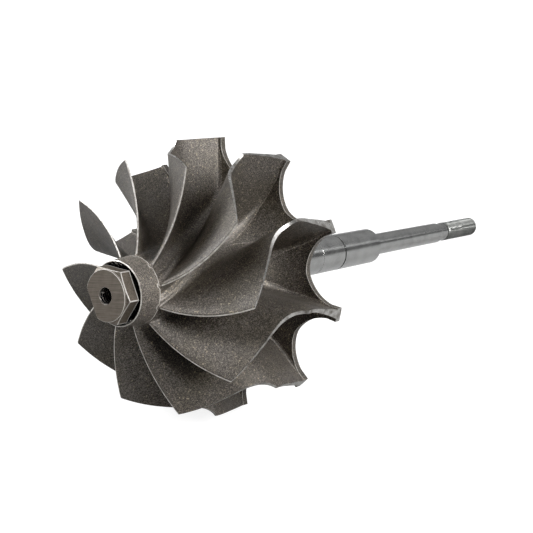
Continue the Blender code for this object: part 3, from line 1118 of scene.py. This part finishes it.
def makeFloor():
    # A flat sheet of pale paper
    bm = bmesh.new()
    bmesh.ops.create_grid(bm, x_segments=4, y_segments=4, size=studio["floorSize"] / 2)
    mesh = bpy.data.meshes.new("studioFloor")
    bm.to_mesh(mesh)
    bm.free()
    material, tree, shader = nodeMaterial("floorPaper")
    where = objectCoordinates(tree)
    patches = noise(tree, where, studio["floorPatch"], detail=2.0)
    glow = remap(tree, vectorLength(tree, where), *studio["glowReach"], *studio["floorGlow"])
    seen = addNode(tree, "ShaderNodeLightPath").outputs["Is Camera Ray"]
    setInputs(tree, shader, {
        "Base Color": mixColour(tree, patches, studio["floorColour"], studio["floorPale"]),
        "Roughness": studio["floorRoughness"],
        "Specular IOR Level": studio["floorSpecular"],
        "Emission Color": white,
        "Emission Strength": arithmetic(tree, "MULTIPLY", seen, glow),
    })
    mesh.materials.append(material)
    floor = bpy.data.objects.new("studioFloor", mesh)
    bpy.context.scene.collection.objects.link(floor)


def addSoftbox(name, azimuth, elevation, target, size, brightness, colour):
    # brightness is what a mirror would show of the lamp's face
    around, up = math.radians(azimuth), math.radians(elevation)
    away = Vector((math.cos(up) * math.cos(around), math.cos(up) * math.sin(around), math.sin(up)))
    location = Vector(target) + away * studio["lampDistance"]
    light = bpy.data.lights.new(name, "AREA")
    light.shape = "RECTANGLE"
    light.size, light.size_y = size
    light.energy = brightness * size[0] * size[1] * math.pi
    light.color = colour
    lamp = bpy.data.objects.new(name, light)
    lamp.location = location
    lamp.rotation_euler = (Vector(target) - location).to_track_quat("-Z", "Y").to_euler()
    bpy.context.scene.collection.objects.link(lamp)


def makeWorld():
    # A room that is dimmer behind the camera; the camera itself sees white above the table
    world = bpy.data.worlds.new("studioWorld")
    bpy.context.scene.world = world
    world.use_nodes = True
    tree = world.node_tree
    shade = tree.nodes["Background"]
    heading = addNode(tree, "ShaderNodeTexCoord").outputs["Generated"]
    way = {0: heading, 1: studio["brightWay"]}
    across = addNode(tree, "ShaderNodeVectorMath", way, operation="DOT_PRODUCT").outputs["Value"]
    room = remap(tree, across, *studio["brightReach"], studio["worldDim"], studio["worldBright"])
    height = addNode(tree, "ShaderNodeSeparateXYZ", {"Vector": heading}).outputs["Z"]
    share = remap(tree, height, *studio["horizonReach"], studio["horizon"], 1.0)
    room = arithmetic(tree, "MULTIPLY", room, share)
    seen = addNode(tree, "ShaderNodeLightPath").outputs["Is Camera Ray"]
    setInputs(tree, shade, {"Color": white, "Strength": arithmetic(tree, "MAXIMUM", room, seen)})


view = {
    "position": (0.16423, -0.23802, 0.15829),
    "heading": -37.9085,
    "elevation": 25.942,
    "roll": 1.8214,
    "focal": 1125.74,  # in pixels of the photograph
    "picture": 533,
    "sensor": 36.0,
    "clip": (0.01, 50.0),
}


def makeCamera():
    # heading is counted from +Y towards +X, elevation downwards, and roll turns the picture
    heading, elevation = math.radians(view["heading"]), math.radians(view["elevation"])
    flat = math.cos(elevation)
    forward = Vector((flat * math.sin(heading), flat * math.cos(heading), -math.sin(elevation)))
    level = forward.cross(Vector((0.0, 0.0, 1.0))).normalized()
    upright = level.cross(forward)
    roll = math.radians(view["roll"])
    right = level * math.cos(roll) + upright * math.sin(roll)
    up = upright * math.cos(roll) - level * math.sin(roll)
    camera = bpy.data.cameras.new("camera")
    camera.sensor_width = view["sensor"]
    camera.lens = view["sensor"] * view["focal"] / view["picture"]
    camera.clip_start, camera.clip_end = view["clip"]
    holder = bpy.data.objects.new("camera", camera)
    axes = Matrix((right, up, -forward)).transposed().to_4x4()
    holder.matrix_world = Matrix.Translation(view["position"]) @ axes
    bpy.context.scene.collection.objects.link(holder)
    bpy.context.scene.camera = holder


# Deeper shadows and slightly brighter lights, as (light in the scene, light shown)
toneCurve = (
    (0.014, 0.0085),
    (0.022, 0.0165),
    (0.042, 0.041),
    (0.08, 0.083),
    (0.17, 0.186),
    (0.34, 0.385),
)


def setTones():
    settings = bpy.context.scene.view_settings
    settings.view_transform = "Standard"
    settings.use_curve_mapping = True
    mapping = settings.curve_mapping
    allChannels = mapping.curves[3]
    for light, shown in toneCurve:
        allChannels.points.new(light, shown)
    mapping.update()


makeCamera()
castAlloy, machinedEdge, wornEdgeHighlight = castMaterial("castAlloy"), edgeMaterial(), wornHighlightMaterial()
# A paler copy of the cast alloy: painted highlight along the fillets' foot
castCreaseHighlight = castMaterial("castCreaseHighlight", castFinish["creaseHighlightLift"])
# Black painted shade for the recess round the nose and the tapped hole
paintedShadeRecess = holeMaterial()
makeCasting((castAlloy, machinedEdge, wornEdgeHighlight, paintedShadeRecess, castCreaseHighlight))
makeNose(noseMaterial(), wornEdgeHighlight, paintedShadeRecess)
makeShaft(steelMaterial("groundSteel", steelFinish))
makeThread(steelMaterial("threadSteel", threadFinish))
makeFloor()
makeWorld()
for lamp in lamps:
    addSoftbox(*lamp)
setTones()
print("studio made:", len(lamps), "lamps")
